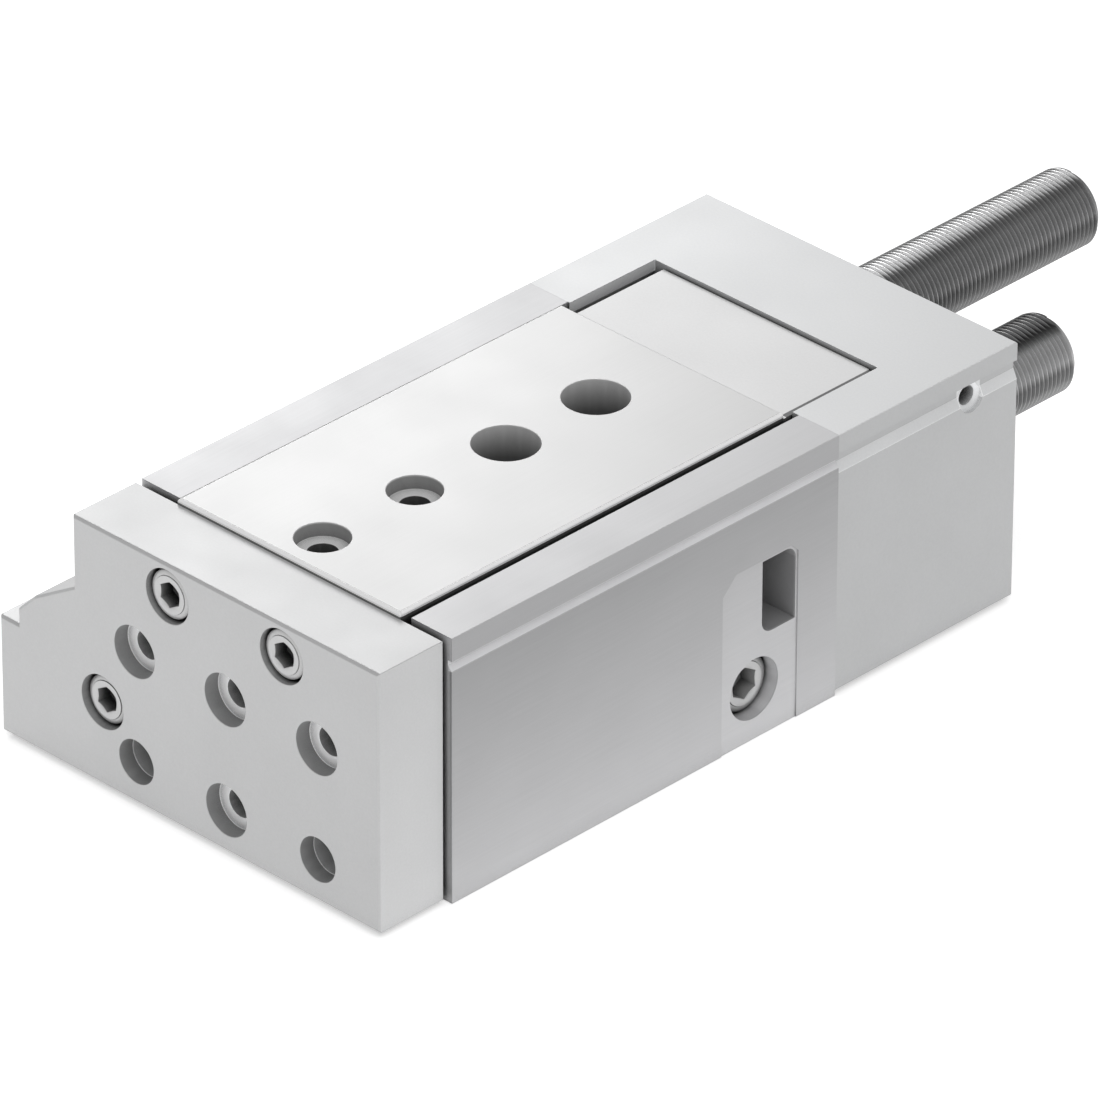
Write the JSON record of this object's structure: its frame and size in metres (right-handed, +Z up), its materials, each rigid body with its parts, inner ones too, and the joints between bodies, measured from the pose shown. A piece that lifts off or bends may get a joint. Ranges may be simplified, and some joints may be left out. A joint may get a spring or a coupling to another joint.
{
  "type": "pneumatic slide table",
  "caption": "Compact ball-guided slide table driven by an air cylinder beside the slide, with a drilled yoke plate and threaded shock absorbers out of the rear.",
  "frame": {"origin": "on the mounting face, midway between the two counterbored mounting holes, which is the centre of the four tapped base holes", "axes": "+Z up from the mounting face, -Y the way the slide and yoke advance, +X to the right seen from the yoke, the cylinder lies on the -X side"},
  "size_m": [0.0849, 0.2082, 0.0483],
  "materials": {
    "body_anodised": "natural anodised, fine extruded grain along the sides",
    "rear_anodised": "natural anodised, fine blasted",
    "yoke_anodised": "natural anodised, fine blasted",
    "carrier_anodised": "natural anodised, satin",
    "slide_steel": "ground, bright",
    "hardened_steel": "ground, hardened",
    "ball_steel": "polished",
    "cage_plastic": "moulded",
    "screw_steel": "bright zinc",
    "dark_screw_steel": "blackened",
    "absorber_steel": "dark zinc plated, turned thread",
    "plunger_steel": "polished, hardened",
    "rod_chrome": "hard chrome, ground",
    "inner_aluminium": "turned",
    "spring_steel": "phosphated",
    "seal_rubber": "moulded",
    "magnet_compound": "bonded magnet",
    "plug_brass": "turned"
  },
  "bodies": {
    "base": {"housing": "body_anodised", "rear_block": "rear_anodised", "rear_block_screws": "screw_steel", "locating_pins": "hardened_steel", "passage_seals": "seal_rubber", "passage_plug": "plug_brass", "stop_button": "hardened_steel", "clamp_screw": "screw_steel", "left_guide_rail": "hardened_steel", "right_guide_rail": "hardened_steel", "cage_stop_pins": "hardened_steel", "rod_gland": "inner_aluminium", "rod_seal": "seal_rubber", "rod_wiper": "seal_rubber", "gland_ring_seal": "seal_rubber", "retaining_ring": "spring_steel", "cylinder_cap": "inner_aluminium", "cap_ring_seal": "seal_rubber", "retract_absorber": "absorber_steel"},
    "slide": {"slide_table": "slide_steel", "yoke_plate": "yoke_anodised", "yoke_screws": "screw_steel", "rod_screw": "screw_steel", "stop_lug": "hardened_steel", "stop_lug_screw": "screw_steel", "absorber_carrier": "carrier_anodised", "carrier_screws": "screw_steel", "absorber_set_screw": "dark_screw_steel", "advance_absorber": "absorber_steel", "piston_rod": "rod_chrome", "piston": "inner_aluminium", "piston_seals": "seal_rubber", "piston_magnet": "magnet_compound", "piston_screw": "screw_steel"},
    "left_cage": {"left_ball_cage": "cage_plastic", "left_balls": "ball_steel"},
    "right_cage": {"right_ball_cage": "cage_plastic", "right_balls": "ball_steel"},
    "advance_buffer": {"advance_plunger": "plunger_steel"},
    "retract_buffer": {"retract_plunger": "plunger_steel"}
  },
  "joints": [
    {"name": "slide_travel", "type": "slide", "parent": "base", "child": "slide", "axis": [0, -1, 0], "range_m": [0, 0.05]},
    {"name": "left_cage_travel", "type": "slide", "parent": "base", "child": "left_cage", "axis": [0, -1, 0], "range_m": [0, 0.025]},
    {"name": "right_cage_travel", "type": "slide", "parent": "base", "child": "right_cage", "axis": [0, -1, 0], "range_m": [0, 0.025]},
    {"name": "retract_plunger_travel", "type": "slide", "parent": "base", "child": "retract_buffer", "axis": [0, -1, 0], "range_m": [0, 0.012]},
    {"name": "advance_plunger_travel", "type": "slide", "parent": "slide", "child": "advance_buffer", "axis": [0, 1, 0], "range_m": [0, 0.012]}
  ],
  "couplings": [
    {"joint": "left_cage_travel", "follows": "slide_travel", "ratio": 0.5},
    {"joint": "right_cage_travel", "follows": "slide_travel", "ratio": 0.5},
    {"joint": "retract_plunger_travel", "follows": "slide_travel", "ratio": 0.24},
    {"joint": "advance_plunger_travel", "follows": "slide_travel", "ratio": 0.24}
  ]
}
